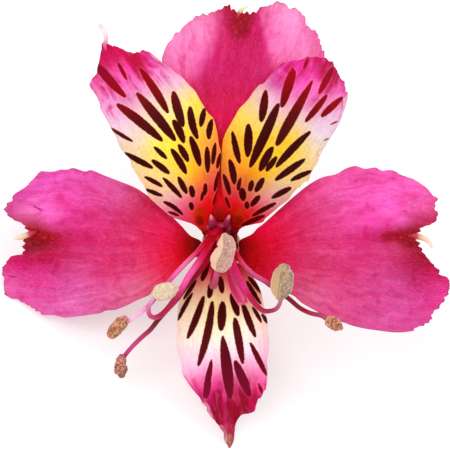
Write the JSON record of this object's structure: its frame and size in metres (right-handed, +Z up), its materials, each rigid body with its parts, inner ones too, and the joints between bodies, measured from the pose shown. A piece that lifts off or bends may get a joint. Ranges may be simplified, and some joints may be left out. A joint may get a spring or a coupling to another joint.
{
  "type": "cut alstroemeria flower",
  "caption": "Picked open Peruvian lily flower, magenta outer tepals, striped yellow and cream inner tepals, curved stamens, green ovary and short cut stalk, lying on a surface.",
  "frame": {"origin": "on the surface it rests on, in the middle of its footprint box", "axes": "+Z up from the surface; the open face looks up towards -Y; +X along the longest side of its footprint"},
  "size_m": [0.0776, 0.0596, 0.0512],
  "materials": {
    "outer_tepal": "satin magenta petal, crimson towards the throat and pale pink on its lobes, with fine lengthwise veins",
    "inner_tepal_upper": "satin yellow petal fading to pale pink at the end and crimson at the throat, with dark maroon dashes",
    "inner_tepal_lower": "satin cream petal, pink to crimson at its point, with long dark maroon dashes",
    "filament": "smooth, slightly translucent pink, crimson towards the throat",
    "anther_fresh": "matte peach with a grainy mauve-brown pollen face",
    "anther_spent": "coarse grainy brown pollen",
    "style": "smooth fleshy crimson pink, paler at its tip",
    "ovary": "satin ribbed green flushed with maroon",
    "stalk": "satin fresh green, paler and fibrous at the cut"
  },
  "bodies": {
    "root": {"outer_tepal_top": "outer_tepal", "outer_tepal_left": "outer_tepal", "outer_tepal_right": "outer_tepal", "inner_tepal_upper_left": "inner_tepal_upper", "inner_tepal_upper_right": "inner_tepal_upper", "inner_tepal_lower": "inner_tepal_lower", "filament_1": "filament", "filament_2": "filament", "filament_3": "filament", "filament_4": "filament", "filament_5": "filament", "filament_6": "filament", "anther_1": "anther_fresh", "anther_2": "anther_fresh", "anther_3": "anther_fresh", "anther_4": "anther_spent", "anther_5": "anther_spent", "anther_6": "anther_spent", "style": "style", "ovary": "ovary", "pedicel": "stalk"}
  },
  "joints": []
}
